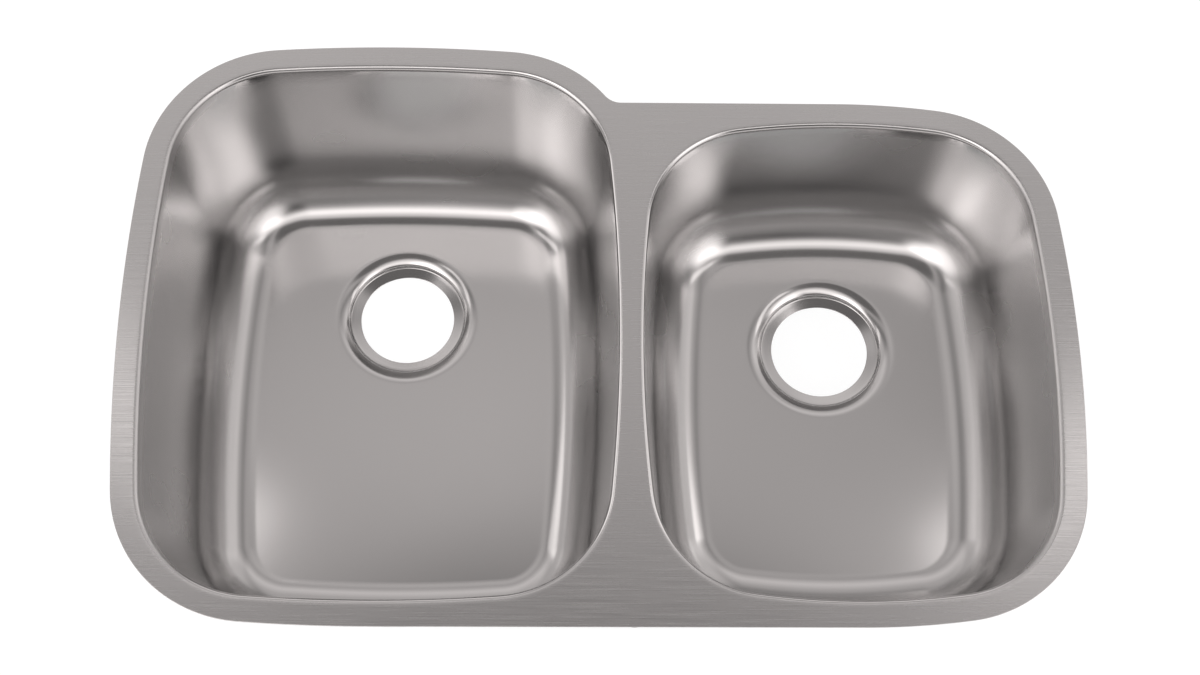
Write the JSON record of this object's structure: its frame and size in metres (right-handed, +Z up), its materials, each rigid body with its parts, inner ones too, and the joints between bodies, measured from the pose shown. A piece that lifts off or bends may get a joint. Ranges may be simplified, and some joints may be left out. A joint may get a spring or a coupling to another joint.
{
  "type": "kitchen sink",
  "caption": "Undermount kitchen sink of drawn stainless steel, with a large and a smaller rounded bowl joined by a narrow bridge, rear drain outlets and sound-deadening pads outside.",
  "frame": {"origin": "on the rim's top plane, on the seam between the two bowls in the middle of the bridge, at the middle of the overall depth", "axes": "+X along the sink towards the small bowl, +Y towards the back edge where the outline is notched, +Z up out of the bowls, normal to the rim"},
  "size_m": [0.7998, 0.521, 0.2306],
  "materials": {
    "satin_steel": "satin brushed stainless, rim lightly grained along its length",
    "weld_steel": "dull weld bead with faint ripples",
    "undercoat": "sprayed, matt and finely pebbled",
    "pad_rubber": "matt black, fine grain"
  },
  "bodies": {
    "root": {"large_bowl": "satin_steel", "small_bowl": "satin_steel", "bridge_weld": "weld_steel", "large_bowl_undercoat": "undercoat", "large_bowl_front_pad": "pad_rubber", "large_bowl_back_pad": "pad_rubber", "large_bowl_left_pad": "pad_rubber", "large_bowl_right_pad": "pad_rubber", "large_bowl_floor_pad": "pad_rubber", "small_bowl_undercoat": "undercoat", "small_bowl_front_pad": "pad_rubber", "small_bowl_back_pad": "pad_rubber", "small_bowl_left_pad": "pad_rubber", "small_bowl_right_pad": "pad_rubber", "small_bowl_floor_pad": "pad_rubber"}
  },
  "joints": []
}
